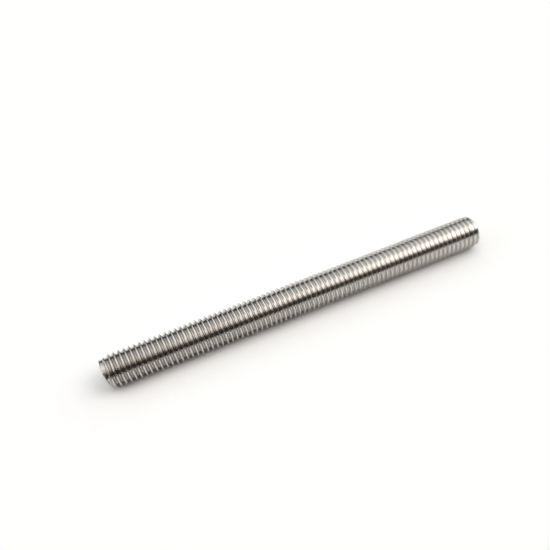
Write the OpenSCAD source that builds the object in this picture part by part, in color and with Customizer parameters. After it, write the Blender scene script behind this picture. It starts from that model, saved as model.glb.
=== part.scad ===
// Threaded rod: one piece of steel bar with a rolled right-hand 60 degree thread
// over its whole length, cut off at both ends behind a short lead taper. The lower
// front part of the left face is cut back at a slant.
// Millimetres. The axis runs along X with the middle of the length at X = 0, and
// the rod lies on Z = 0 on the crests of its thread.

/* [Rod] */
// Length over both end faces
rod_len = 118; // [40:1:160]
// Diameter over the crests of the thread
crest_d = 9.8; // [8:0.1:12]
// Length over which the thread rises from an end face to its full height
lead_len = 3.4; // [1:0.1:8]
// How far the edge of an end face lies below the crests
lead_drop = 1; // [0.4:0.05:1.4]

/* [Slant of the left face] */
// How far the slanting part leans back from square, in degrees
slant_angle = 16; // [0:1:30]
// How far from the axis it starts
slant_start = 0.4; // [0:0.1:2]
// The side it lies on, in degrees round the axis from the floor
slant_side = 312; // [0:1:359]

/* [Thread] */
// Advance of the thread in one turn
pitch = 1.5; // [1.25:0.05:1.75]
// Angle between the two flanks of the ridge
flank_angle = 60; // [55:1:65]
// Width of the flat on top of the ridge
crest_w = 0.25; // [0.12:0.01:0.35]
// Width of the flat at the bottom of the groove
root_w = 0.25; // [0.12:0.01:0.35]
// Where the ridge starts on the left face, in degrees round the axis from the floor
start_angle = 155; // [0:5:355]

/* [Hidden] */

steel = [0.72, 0.71, 0.69];

// The two flanks take what the flats leave of a pitch, and that sets the depth.
flank_w = (pitch - crest_w - root_w) / 2;
depth = flank_w / tan(flank_angle / 2);
crest_r = crest_d / 2;

// One pitch of the thread in section, as [advance, radius], from a crest onwards.
section = [
    [0, crest_r],
    [crest_w, crest_r],
    [crest_w + flank_w, crest_r - depth],
    [pitch - flank_w, crest_r - depth],
];
sides = len(section);

// The helix starts before the left face and ends past the right one, where its
// slanting rims are cut off. Each step of a turn has two facets for each side of
// the section. The steps are even in number, so that the crests have a flat at the
// floor and another at the top.
facet_budget = 11900;
start_turns = start_angle / 360;
turns = ceil(rod_len / pitch + start_turns + 2.2);
steps = 2 * floor(facet_budget / turns / sides / 4);
step_angle = 360 / steps;
last = turns * steps;
start_x = -rod_len / 2 - pitch * (start_turns + 2 - 0.5 / steps) - crest_w / 2;

// Corners lie a little outside the true radius, so that a turn encloses the area of
// the true circle.
swell = sqrt(step_angle * PI / 180 / sin(step_angle));
axis_z = crest_r * swell * cos(step_angle / 2);

// Corner k of the section after i steps along the helix.
function corner(i, k) =
    let (a = step_angle * (i + 0.5) - 90, r = section[k].y * swell)
    [
        start_x + pitch * i / steps + section[k].x,
        r * cos(a),
        r * sin(a),
    ];

// After the last corner of the section comes the first one of the next turn.
function id(i, k) = k < sides ? sides * i + k : sides * (i + steps);

// Two facets of one side of the section over one step.
function step_facets(i, k) = [
    [id(i, k), id(i, k + 1), id(i + 1, k)],
    [id(i, k + 1), id(i + 1, k + 1), id(i + 1, k)],
];

// Edge of the helix at one end: a turn along the ridge and back down the section.
function rim(from) = concat(
    [for (i = [from:from + steps]) id(i, 0)],
    [for (k = [sides - 1:-1:0]) id(from, k)]
);

// Helix of the ridge and its groove, closed at each end by a fan round a point on
// the axis.
module thread_form() {
    left_hub = sides * (last + steps + 1);
    right_hub = left_hub + 1;
    left_rim = rim(0);
    right_rim = rim(last);
    polyhedron(
        points = concat(
            [for (i = [0:last + steps], k = [0:sides - 1]) corner(i, k)],
            [for (along = [0.5, turns + 0.5]) [start_x + pitch * along, 0, 0]]
        ),
        faces = concat(
            [for (i = [0:last - 1], k = [0:sides - 1], facet = step_facets(i, k)) facet],
            [for (j = [1:len(left_rim) - 1]) [left_rim[j - 1], left_rim[j], left_hub]],
            [for (j = [1:len(right_rim) - 1]) [right_rim[j], right_rim[j - 1], right_hub]]
        ),
        convexity = 10
    );
}

// Block that takes the slanting part off the left face.
module slant_cut() {
    rotate([slant_side + 180, 0, 0])
        translate([-rod_len / 2, 0, slant_start])
            rotate([0, slant_angle, 0])
                translate([-2, -1, -1] * crest_d)
                    cube(2 * crest_d);
}

// Bar with a flat face and a lead taper at each end. Between the tapers it stands
// clear of the crests.
module blank() {
    half = rod_len / 2;
    face_r = crest_r - lead_drop;
    bar_r = 1.1 * crest_r;
    taper = lead_len * (bar_r - face_r) / lead_drop;
    difference() {
        rotate([0, 90, 0])
            rotate_extrude()
                polygon([
                    [0, -half],
                    [face_r, -half],
                    [bar_r, taper - half],
                    [bar_r, half - taper],
                    [face_r, half],
                    [0, half],
                ]);
        slant_cut();
    }
}

module threaded_rod() {
    color(steel)
        translate([0, 0, axis_z])
            intersection() {
                thread_form();
                blank();
            }
}

threaded_rod();
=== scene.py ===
"""Threaded rod: stainless steel, lying on a white table, in metres and in the frame of the CAD part."""

import math

import bpy
import numpy as np
from mathutils import Matrix, Vector


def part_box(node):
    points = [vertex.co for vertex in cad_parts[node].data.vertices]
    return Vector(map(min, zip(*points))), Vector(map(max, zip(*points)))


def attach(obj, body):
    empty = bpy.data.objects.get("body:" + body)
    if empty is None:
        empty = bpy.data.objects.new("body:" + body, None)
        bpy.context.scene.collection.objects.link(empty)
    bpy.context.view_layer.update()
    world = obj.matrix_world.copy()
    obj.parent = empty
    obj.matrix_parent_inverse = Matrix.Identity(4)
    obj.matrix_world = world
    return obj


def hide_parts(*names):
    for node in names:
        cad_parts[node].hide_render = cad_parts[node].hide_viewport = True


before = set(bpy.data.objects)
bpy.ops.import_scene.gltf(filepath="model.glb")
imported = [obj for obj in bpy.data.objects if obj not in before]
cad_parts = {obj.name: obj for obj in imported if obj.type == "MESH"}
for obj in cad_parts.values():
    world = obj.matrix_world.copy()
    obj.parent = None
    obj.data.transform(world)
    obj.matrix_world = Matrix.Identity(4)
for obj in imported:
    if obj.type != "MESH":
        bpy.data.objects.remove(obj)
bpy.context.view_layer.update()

MM = 0.001

# ---------------------------------------------------------------- sizes of the rod

low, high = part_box("threaded_rod")
HALF = (high.x - low.x) / 2  # half the length over the end faces
MIDDLE_X = (high.x + low.x) / 2
CREST_R = (high.z - low.z) / 2
AXIS_Z = low.z + CREST_R

PITCH = 1.5 * MM
CREST_W = 0.25 * MM
ROOT_DEPTH = 0.866 * MM
ROOT_R = CREST_R - ROOT_DEPTH
FLANK_SLOPE = math.tan(math.radians(60))  # rise of a flank per length along the axis
CREST_ROUND = 0.04 * MM
ROOT_ROUND = 0.2 * MM
START_ANGLE = 155  # degrees round the axis from the floor, where the ridge meets the left face

# the leads, where the ridges sink towards the end faces
LEAD_LEN = 3.1 * MM
LEFT_DROP = 1.15 * MM
LEFT_CURVE = 1.5  # power of the left drop: above 1, it grows faster close to the face
LEAD_SHIFT = 0.7  # share of the left drop that is missing on the lower front side
RIGHT_DROP = 0.3 * MM
CORNER_LEN = 0.8 * MM  # the last part of the right end, which is rounded over
CORNER_DROP = 0.55 * MM
LEAD_SHADE = 0.5  # how much painted shade the lead gets, against a groove as deep as it has sunk

# the end faces: the left one leans back on its lower front side
EDGE_ROUND = 0.07 * MM  # worn edge
EDGE_CLEAR = 0.08 * MM  # no thread point lies closer to that edge, so that it shades cleanly
SLANT = math.tan(math.radians(16))
SLANT_START = 0.4 * MM  # from the middle of the face
SLANT_SIDE = math.radians(312)
SLANT_BLEND = 0.12 * MM

# the mesh
TURN_STEPS = 48
SPARE_TURNS = 2  # turns of the sweep past each end, cut off at the face
# section points from a crest's middle to the next root's middle, as shares of the pitch:
# close together at the bends, so that the flanks between them stay flat
SECTION = (0, 0.066, 0.077, 0.089, 0.1, 0.12, 0.3, 0.33, 0.37, 0.41, 0.445, 0.475, 0.5)
EDGE_BENDS = (30, 60, 90)  # degrees round the worn edge
FACE_RINGS = (0.92, 0.84, 0.76, 0.68, 0.6, 0.52, 0.44, 0.36, 0.28, 0.2, 0.1)  # shares of the radius
CUT_SEARCH = 3 * MM  # the cut edge is looked for this far in from the end
CUT_HALVINGS = 50
ROLLED, SAWN = 0, 1  # material slots


def smooth_min(a, b, width):
    """Lesser of two values, with the corner rounded over about the given width."""
    h = np.clip(0.5 + 0.5 * (b - a) / width, 0, 1)
    return b + (a - b) * h - width * h * (1 - h)


def ridge(offset):
    """Radius of the thread at an offset along the axis from the middle of a crest."""
    flank = CREST_R - (np.abs(offset) - CREST_W / 2) * FLANK_SLOPE
    return smooth_min(-smooth_min(-flank, -ROOT_R, ROOT_ROUND), CREST_R, CREST_ROUND)


def drop(x, crest_x, angle):
    """How far the ridge whose crest is at crest_x has sunk near an end, seen at x."""
    taper = np.maximum(1 - (HALF - np.abs(crest_x)) / LEAD_LEN, 0)
    corner = np.clip(1 - (HALF - np.abs(x)) / CORNER_LEN, 0, 1) ** 2
    missing = LEAD_SHIFT * np.clip(np.cos(angle - SLANT_SIDE), 0, 1)
    left = LEFT_DROP * (1 - missing) * taper**LEFT_CURVE
    right = RIGHT_DROP * taper + CORNER_DROP * corner
    return np.where(x < 0, left, right)


def surface_radius(x, angle):
    """Radius of the rod at x along its axis, at an angle from the floor, in radians."""
    turn = angle / (2 * math.pi) - START_ANGLE / 360
    offset = (((x + HALF) / PITCH - turn + 0.5) % 1 - 0.5) * PITCH
    # near the ends each turn of the ridge sinks as a whole, down to the grooves' own level
    sunk = ridge(offset) - drop(x, x - offset, angle)
    return -smooth_min(-sunk, -ROOT_R, 2 * CREST_ROUND)


def face_x(side, angle, radius):
    """Where an end face lies along the axis, for a point of it given round the axis."""
    if side > 0:
        return np.full_like(radius, HALF)
    past = radius * np.cos(angle - SLANT_SIDE) - SLANT_START
    return -HALF + SLANT * -smooth_min(-past, 0, SLANT_BLEND)


def cut_edge(side, angle):
    """Point where the thread's surface meets the worn edge of an end face, found by halving."""
    out = np.full_like(angle, side * HALF)
    inner = np.full_like(angle, side * (HALF - CUT_SEARCH))
    for _ in range(CUT_HALVINGS):
        middle = (out + inner) / 2
        edge = face_x(side, angle, surface_radius(middle, angle)) - side * EDGE_ROUND
        past = (middle - edge) * side > 0
        out = np.where(past, middle, out)
        inner = np.where(past, inner, middle)
    return out, surface_radius(out, angle)


# ---------------------------------------------------------------- the rod's mesh


class Skin:
    """Points, faces and material slots of a mesh, gathered bit by bit."""

    def __init__(self):
        self.points, self.faces, self.slots = [], [], []
        self.count = 0

    def add_points(self, points):
        """Take in the points, and return their numbers."""
        numbers = self.count + np.arange(len(points))
        self.points.append(points)
        self.count += len(points)
        return numbers

    def add_face(self, corners, slot):
        self.faces.append(corners)
        self.slots.append(slot)

    def mesh(self, name, shift):
        """The mesh, moved by shift, without the points that no face uses."""
        used = np.unique(np.concatenate([np.asarray(face) for face in self.faces]))
        new_number = np.full(self.count, -1)
        new_number[used] = np.arange(len(used))
        points = np.concatenate(self.points)[used] + shift
        mesh = bpy.data.meshes.new(name)
        mesh.from_pydata(
            [tuple(point) for point in points],
            [],
            [[int(new_number[corner]) for corner in face] for face in self.faces],
        )
        mesh.polygons.foreach_set("material_index", self.slots)
        mesh.polygons.foreach_set("use_smooth", [True] * len(self.faces))
        mesh.update()
        return mesh, points


def shell(x, radius, angle):
    """Points at x along the axis, by their radius and their angle from the floor."""
    return np.stack([x, radius * np.sin(angle), -radius * np.cos(angle)], -1)


def add_thread(skin, edges):
    """The section swept along the helix, cut off at both ends' edges.

    edges holds each side's edge points: their numbers and their x.
    """
    offsets = PITCH * np.array(SECTION + tuple(1 - share for share in SECTION[-2:0:-1]))
    turns = math.ceil(2 * HALF / PITCH) + 2 * SPARE_TURNS
    steps = np.arange((turns + 1) * TURN_STEPS)
    angle = (2 * math.pi * steps / TURN_STEPS)[:, None]
    start_x = -HALF - PITCH * (SPARE_TURNS + START_ANGLE / 360)
    x = start_x + PITCH * (steps / TURN_STEPS)[:, None] + offsets[None, :]
    points = shell(x, surface_radius(x, angle), angle)
    numbers = skin.add_points(points.reshape(-1, 3)).reshape(x.shape)

    # points that lie past a cut edge give way to that edge's own point
    column = (steps % TURN_STEPS)[:, None]
    for side, (edge, edge_x) in edges.items():
        past = side * x > side * edge_x[column] - EDGE_CLEAR
        numbers = np.where(past, edge[column], numbers)

    # the section's last point is joined to its first one a turn later
    grid = np.hstack([numbers[:-TURN_STEPS], numbers[TURN_STEPS:, :1]])
    for j in range(len(offsets)):
        for quad in zip(grid[:-1, j], grid[:-1, j + 1], grid[1:, j + 1], grid[1:, j]):
            corners = [corner for n, corner in enumerate(quad) if corner != quad[n - 1]]
            if len(set(corners)) > 2:
                skin.add_face(corners, ROLLED)


def add_end_face(skin, side, angle, edge, edge_r):
    """One end: the worn edge, then rings in to the middle of the face."""
    rings = []
    for bend in map(math.radians, EDGE_BENDS):
        ring_r = edge_r - EDGE_ROUND * (1 - math.cos(bend))
        rings.append((ring_r, EDGE_ROUND * (1 - math.sin(bend))))
    rings += [((edge_r - EDGE_ROUND) * share, 0) for share in FACE_RINGS]
    before = edge
    for ring_r, back in rings:
        now = skin.add_points(shell(face_x(side, angle, ring_r) - side * back, ring_r, angle))
        for quad in zip(before, np.roll(before, -1), np.roll(now, -1), now):
            skin.add_face(quad[::side], SAWN)
        before = now
    (middle,) = skin.add_points(np.array([[side * HALF, 0, 0]]))
    for pair in zip(before, np.roll(before, -1)):
        skin.add_face((*pair, middle)[::side], SAWN)


def add_groove_depth(mesh, points):
    """How deep each point lies in the groove, as the mask of the painted shade: 0 on the crests, more
    on the lead, 1 at the root.
    """
    along = points[:, 0] - MIDDLE_X
    across, up = points[:, 1], points[:, 2] - AXIS_Z
    sunk = drop(along, along, np.arctan2(across, -up))
    depth = (CREST_R - np.hypot(across, up) - (1 - LEAD_SHADE) * sunk) / ROOT_DEPTH
    groove = mesh.attributes.new("groove", "FLOAT", "POINT")
    groove.data.foreach_set("value", np.clip(depth, 0, 1))


def build_rod():
    skin = Skin()
    angle = 2 * math.pi * np.arange(TURN_STEPS) / TURN_STEPS
    edges, radii = {}, {}
    for side in (-1, 1):
        edge_x, radii[side] = cut_edge(side, angle)
        edges[side] = (skin.add_points(shell(edge_x, radii[side], angle)), edge_x)
    add_thread(skin, edges)
    for side, (edge, _) in edges.items():
        add_end_face(skin, side, angle, edge, radii[side])
    mesh, points = skin.mesh("rod_thread", np.array([MIDDLE_X, 0, AXIS_Z]))
    add_groove_depth(mesh, points)
    return mesh


# ---------------------------------------------------------------- materials

# each from its darker patches to its lighter ones
CLEAN_STEEL = ((0.585, 0.565, 0.537), (0.645, 0.624, 0.595))
SAWN_STEEL = ((0.56, 0.55, 0.53), (0.68, 0.67, 0.65))
TABLE_WHITE = ((0.92, 0.92, 0.92), (0.95, 0.95, 0.95))
# painted shade: the dark colour that the grooves are mixed towards by their depth
GROOVE_SHADE_COLOUR = (0.20, 0.18, 0.16)


class Nodes:
    """Short way to lay out a node tree."""

    def __init__(self, owner):
        owner.use_nodes = True
        self.tree = owner.node_tree
        self.tree.nodes.clear()

    def add(self, kind, inputs=None, **settings):
        """A node with its settings, and its inputs linked to sockets or set to values."""
        node = self.tree.nodes.new(kind)
        for name, value in settings.items():
            setattr(node, name, value)
        for name, value in (inputs or {}).items():
            socket = node.inputs[name]
            if isinstance(value, bpy.types.NodeSocket):
                self.tree.links.new(value, socket)
            else:
                socket.default_value = value
        return node

    def ramp(self, factor, stops):
        """Colour that runs straight from stop to stop, each a place and a colour."""
        node = self.add("ShaderNodeValToRGB", {"Fac": factor})
        stock = node.color_ramp.elements
        while len(stock) < len(stops):
            stock.new(0.5)
        for element, (place, colour) in zip(stock, stops):
            element.position = place
            element.color = (*colour, 1)
        return node.outputs["Color"]

    def mix(self, factor, a, b):
        inputs = {"Factor": factor, "A": a, "B": b}
        return self.add("ShaderNodeMix", inputs, data_type="RGBA").outputs["Result"]

    def math(self, kind, a, b=0.0, c=0.0, clamp=False):
        node = self.add("ShaderNodeMath", {0: a, 1: b, 2: c}, operation=kind)
        node.use_clamp = clamp
        return node.outputs[0]

    def noise(self, vector, scale, detail, **settings):
        inputs = {"Vector": vector, "Scale": scale, "Detail": detail, **settings}
        return self.add("ShaderNodeTexNoise", inputs).outputs["Fac"]

    def metal(self, colour, rough, height, strength, distance):
        """Bare metal with a bumpy surface, as the material's output."""
        bump = self.add(
            "ShaderNodeBump", {"Height": height, "Strength": strength, "Distance": distance}
        )
        shader = self.add(
            "ShaderNodeBsdfPrincipled",
            {
                "Base Color": colour,
                "Metallic": 1.0,
                "Roughness": rough,
                "Normal": bump.outputs["Normal"],
            },
        )
        self.add("ShaderNodeOutputMaterial", {"Surface": shader.outputs[0]})


def rolled_steel():
    mat = bpy.data.materials.new("rolled_stainless")
    n = Nodes(mat)
    coords = n.add("ShaderNodeTexCoord").outputs["Object"]
    groove = n.add("ShaderNodeAttribute", attribute_name="groove").outputs["Fac"]

    # painted shadow: the grooves' painted shade grows stronger towards the left end
    along_rod = n.add("ShaderNodeSeparateXYZ", {0: coords}).outputs["X"]
    left_end_shade = n.add(
        "ShaderNodeMapRange",
        {
            "Value": along_rod,
            "From Min": -HALF,
            "From Max": 0.5 * HALF,
            "To Min": 0.66,
            "To Max": 0.12,
        },
    ).outputs["Result"]

    # squeezed along the axis, so that marks run along the thread as rolling leaves them
    squeezed = n.add("ShaderNodeMapping", {"Vector": coords, "Scale": (9000.0, 700.0, 700.0)})
    streaks = n.noise(squeezed.outputs[0], 1.0, 3.0)
    patches = n.noise(coords, 160.0, 4.0)
    grain = n.noise(coords, 2600.0, 5.0, Roughness=0.6)

    clean = n.ramp(patches, list(zip((0.3, 0.7), CLEAN_STEEL)))
    # painted shade in the grooves, by their depth, stronger towards the left end
    groove_shade = n.math("POWER", groove, 1.5)
    groove_shade = n.math("MULTIPLY", groove_shade, left_end_shade, clamp=True)
    colour = n.mix(groove_shade, clean, (*GROOVE_SHADE_COLOUR, 1))
    rough = n.math("MULTIPLY_ADD", streaks, 0.10, 0.07)
    rough = n.math("MULTIPLY_ADD", patches, 0.06, rough)
    height = n.math("MULTIPLY_ADD", grain, 0.5, streaks)
    n.metal(colour, rough, height, strength=0.2, distance=0.01 * MM)
    return mat


def sawn_steel():
    mat = bpy.data.materials.new("sawn_stainless")
    n = Nodes(mat)
    coords = n.add("ShaderNodeTexCoord").outputs["Object"]
    # saw marks: near-parallel lines across the face, a little curved by the noise
    lines = n.add(
        "ShaderNodeTexWave",
        {"Vector": coords, "Scale": 900.0, "Distortion": 3.0, "Detail": 3.0, "Detail Scale": 2.0},
        bands_direction="Y",
    ).outputs["Fac"]
    grain = n.noise(coords, 3000.0, 4.0)
    patches = n.noise(coords, 500.0, 3.0)
    colour = n.ramp(patches, list(zip((0.3, 0.7), SAWN_STEEL)))
    rough = n.math("MULTIPLY_ADD", grain, 0.2, 0.32)
    height = n.math("MULTIPLY_ADD", grain, 0.4, lines)
    n.metal(colour, rough, height, strength=0.35, distance=0.02 * MM)
    return mat


def white_table():
    """Plain matt white, which the room's light alone brings up to white in the picture."""
    mat = bpy.data.materials.new("white_table")
    n = Nodes(mat)
    coords = n.add("ShaderNodeTexCoord").outputs["Object"]
    fine = n.noise(coords, 900.0, 2.0)
    colour = n.ramp(fine, list(zip((0.0, 1.0), TABLE_WHITE)))
    matt = n.add("ShaderNodeBsdfDiffuse", {"Color": colour})
    n.add("ShaderNodeOutputMaterial", {"Surface": matt.outputs[0]})
    return mat


# ---------------------------------------------------------------- rod and table


def add_object(name, data):
    obj = bpy.data.objects.new(name, data)
    bpy.context.scene.collection.objects.link(obj)
    return obj


rod = add_object("rod_thread", build_rod())
rod.data.materials.append(rolled_steel())
rod.data.materials.append(sawn_steel())
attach(rod, "root")
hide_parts("threaded_rod")

TABLE = 3.0  # half its side, in metres
TABLE_GAP = 0.02 * MM  # under the rod, so that no two surfaces share a plane

table_mesh = bpy.data.meshes.new("table")
table_mesh.from_pydata(
    [(-TABLE, -TABLE, 0), (TABLE, -TABLE, 0), (TABLE, TABLE, 0), (-TABLE, TABLE, 0)],
    [],
    [(0, 1, 2, 3)],
)
table = add_object("table", table_mesh)
table.data.materials.append(white_table())
table.location.z = low.z - TABLE_GAP

# ---------------------------------------------------------------- the room's light

# Levels of light by degrees round the rod's axis, from the front horizon over the top to
# the back one, for a view straight across the rod and for one that leans to its right end.
BRIGHT = 5.0  # strength of the world, which the colours in its nodes are shares of
LEVEL = 0.8  # scales the whole room
NEUTRAL, WARM, COOL = (1.02, 1.0, 0.98), (1.15, 1.0, 0.86), (0.96, 1.0, 1.0)
ACROSS = (
    (0, 0.15, WARM), (9, 0.06, WARM), (30, 0.07, WARM), (38, 0.17, WARM), (48, 0.38, WARM),
    (62, 1.1, NEUTRAL), (76, 1.35, NEUTRAL), (91, 1.8, NEUTRAL), (104, 1.55, NEUTRAL),
    (120, 1.25, COOL), (136, 1.15, COOL), (148, 0.85, COOL), (160, 0.12, COOL), (180, 0.04, COOL),
)
TO_THE_RIGHT = (
    (0, 0.25, WARM), (9, 0.1, WARM), (30, 0.1, WARM), (36, 0.3, WARM), (42, 1.3, WARM),
    (48, 2.8, NEUTRAL), (60, 4.4, NEUTRAL), (84, 4.4, NEUTRAL), (93, 2.3, NEUTRAL),
    (102, 1.4, COOL), (120, 1.5, COOL), (136, 1.5, COOL), (149, 1.0, COOL), (161, 0.12, COOL),
    (180, 0.04, COOL),
)
# how much of the second one shows, by the lean itself: 0 is square across the rod
LEAN = ((0.26, 0.0), (0.36, 0.6), (0.46, 1.0), (0.74, 1.0), (0.86, 0.4), (0.95, 0.1))
# straight along the rod, where all the levels meet in a point, the room is one plain grey
END_LEVEL = 0.5
ENDWARD = ((0.9, 0.0), (0.985, 1.0))  # how much of that grey shows, by the lean to either end


def grey(level):
    return (level,) * 3


def room_colours(levels):
    """Stops of a ramp over the half turn from the front horizon to the back one."""
    return [
        (degrees / 180, tuple(LEVEL * level * part / BRIGHT for part in tint))
        for degrees, level, tint in levels
    ]


def add_room():
    world = bpy.data.worlds.new("studio")
    bpy.context.scene.world = world
    n = Nodes(world)
    toward = n.add("ShaderNodeTexCoord").outputs["Generated"]
    axes = n.add("ShaderNodeSeparateXYZ", {0: toward}).outputs
    front = n.math("MULTIPLY", axes["Y"], -1.0)
    over = n.math("ARCTAN2", axes["Z"], front)
    half_turn = n.math("DIVIDE", over, math.pi, clamp=True)

    leaning = n.ramp(axes["X"], [(lean, grey(share)) for lean, share in LEAN])
    across = n.ramp(half_turn, room_colours(ACROSS))
    to_the_right = n.ramp(half_turn, room_colours(TO_THE_RIGHT))
    light = n.mix(leaning, across, to_the_right)

    lean_size = n.math("ABSOLUTE", axes["X"])
    endward = n.ramp(lean_size, [(lean, grey(share)) for lean, share in ENDWARD])
    light = n.mix(endward, light, (*grey(LEVEL * END_LEVEL / BRIGHT), 1))
    sky = n.add("ShaderNodeBackground", {"Color": light, "Strength": BRIGHT})
    n.add("ShaderNodeOutputWorld", {"Surface": sky.outputs[0]})


def add_soft_box(name, place, aim, size, power, colour):
    lamp = bpy.data.lights.new(name, "AREA")
    lamp.shape = "RECTANGLE"
    lamp.size, lamp.size_y = size
    lamp.energy = power
    lamp.color = colour
    obj = add_object(name, lamp)
    obj.location = place
    obj.rotation_euler = (Vector(aim) - Vector(place)).to_track_quat("-Z", "Y").to_euler()


add_room()
# a big soft box hangs over the rod
add_soft_box("key", (0.1, 0.1, 1.0), (0, 0, 0), (1.0, 0.6), 0.36, (1.0, 0.98, 0.95))

# ---------------------------------------------------------------- camera

# It stands in front of the rod, to the left of its middle, and looks down on it and
# along it, so that the right end is the far one.
SENSOR = 36.0  # width, and the lens's focal length, in Blender's millimetres
LENS = 45.8836
EYE = Vector((-45.41, -133.66, 153.30)) * MM
AZIMUTH = math.radians(16.465)
DOWN = math.radians(44.297)
ROLL = math.radians(-9.179)

cam_data = bpy.data.cameras.new("camera")
cam_data.sensor_width = SENSOR
cam_data.lens = LENS
cam_data.clip_start = 0.005
cam_data.clip_end = 20
look = Vector(
    (
        math.sin(AZIMUTH) * math.cos(DOWN),
        math.cos(AZIMUTH) * math.cos(DOWN),
        -math.sin(DOWN),
    )
)
cam = add_object("camera", cam_data)
cam.location = EYE
turned = look.to_track_quat("-Z", "Y").to_matrix() @ Matrix.Rotation(ROLL, 3, "Z")
cam.rotation_euler = turned.to_euler()
bpy.context.scene.camera = cam

bpy.context.scene.view_settings.view_transform = "Standard"
